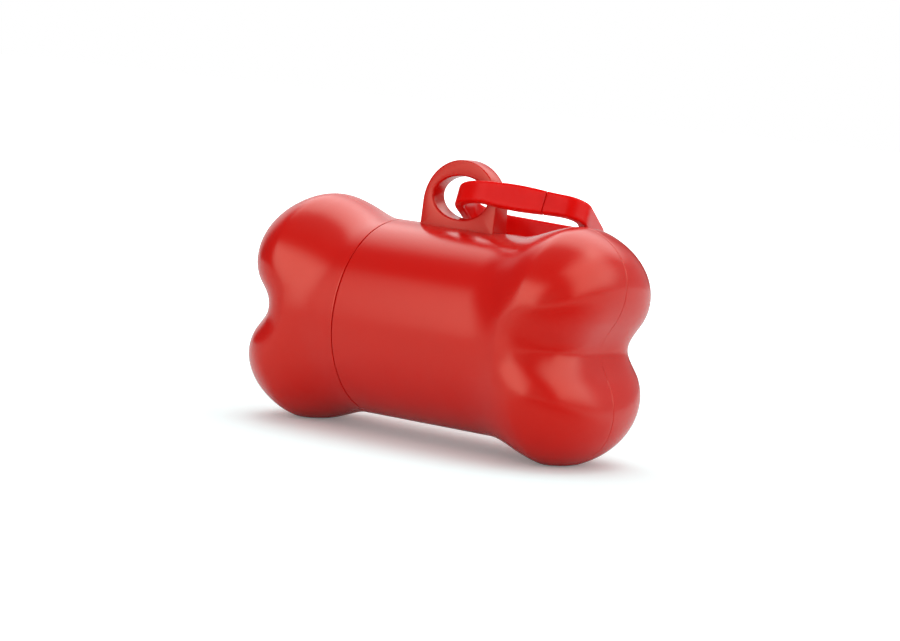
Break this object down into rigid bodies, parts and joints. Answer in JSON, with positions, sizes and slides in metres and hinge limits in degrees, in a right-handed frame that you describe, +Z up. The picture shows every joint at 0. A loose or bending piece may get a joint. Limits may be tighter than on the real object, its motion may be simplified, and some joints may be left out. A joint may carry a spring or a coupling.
{
  "type": "bag roll dispenser",
  "caption": "Bone-shaped plastic dispenser for a roll of dog waste bags: hollow shell with screw cap, hang loop, rear slot, roll on its core, and an oblong snap clip with a sprung gate.",
  "frame": {"origin": "middle of the base, level with the flats under the two lower lobes", "axes": "+Z up, +X along the barrel from the cap to the closed end, +Y towards the back with the slot"},
  "size_m": [0.083, 0.0408, 0.0567],
  "materials": {
    "body_shell": "satin moulded red plastic",
    "screw_cap": "satin moulded red plastic",
    "roll_core": "plain wound card",
    "bag_roll": "wound thin film",
    "clip_hook": "glossy, slightly see-through red plastic",
    "clip_gate": "glossy, slightly see-through red plastic"
  },
  "bodies": {
    "shell": {"body_shell": "body_shell"},
    "core": {"roll_core": "roll_core"},
    "cap": {"screw_cap": "screw_cap"},
    "roll": {"bag_roll": "bag_roll"},
    "clip": {"clip_hook": "clip_hook"},
    "gate": {"clip_gate": "clip_gate"}
  },
  "joints": [
    {"name": "cap_pull", "type": "slide", "parent": "shell", "child": "core", "axis": [-1, 0, 0], "range_m": [0, 0.0121]},
    {"name": "cap_twist", "type": "hinge", "parent": "core", "child": "cap", "pos_m": [-0.02, 0, 0.02308], "axis": [-1, 0, 0], "range_deg": [0, 540]},
    {"name": "roll_spin", "type": "hinge", "parent": "core", "child": "roll", "pos_m": [0, 0, 0.02308], "axis": [1, 0, 0], "continuous": true},
    {"name": "clip_swing", "type": "hinge", "parent": "shell", "child": "clip", "pos_m": [0.00103, 0, 0.04898], "axis": [0, -1, 0], "range_deg": [0, 110]},
    {"name": "gate_open", "type": "hinge", "parent": "clip", "child": "gate", "pos_m": [0.01114, -0.00332, 0.05079], "axis": [-0.0583, 0.3603, 0.931], "range_deg": [0, 30], "stiffness_Nm_per_rad": 0.02, "springref_deg": -5.73}
  ],
  "couplings": [
    {"joint": "cap_pull", "follows": "cap_twist", "m_per_rad": 0.0012732}
  ]
}
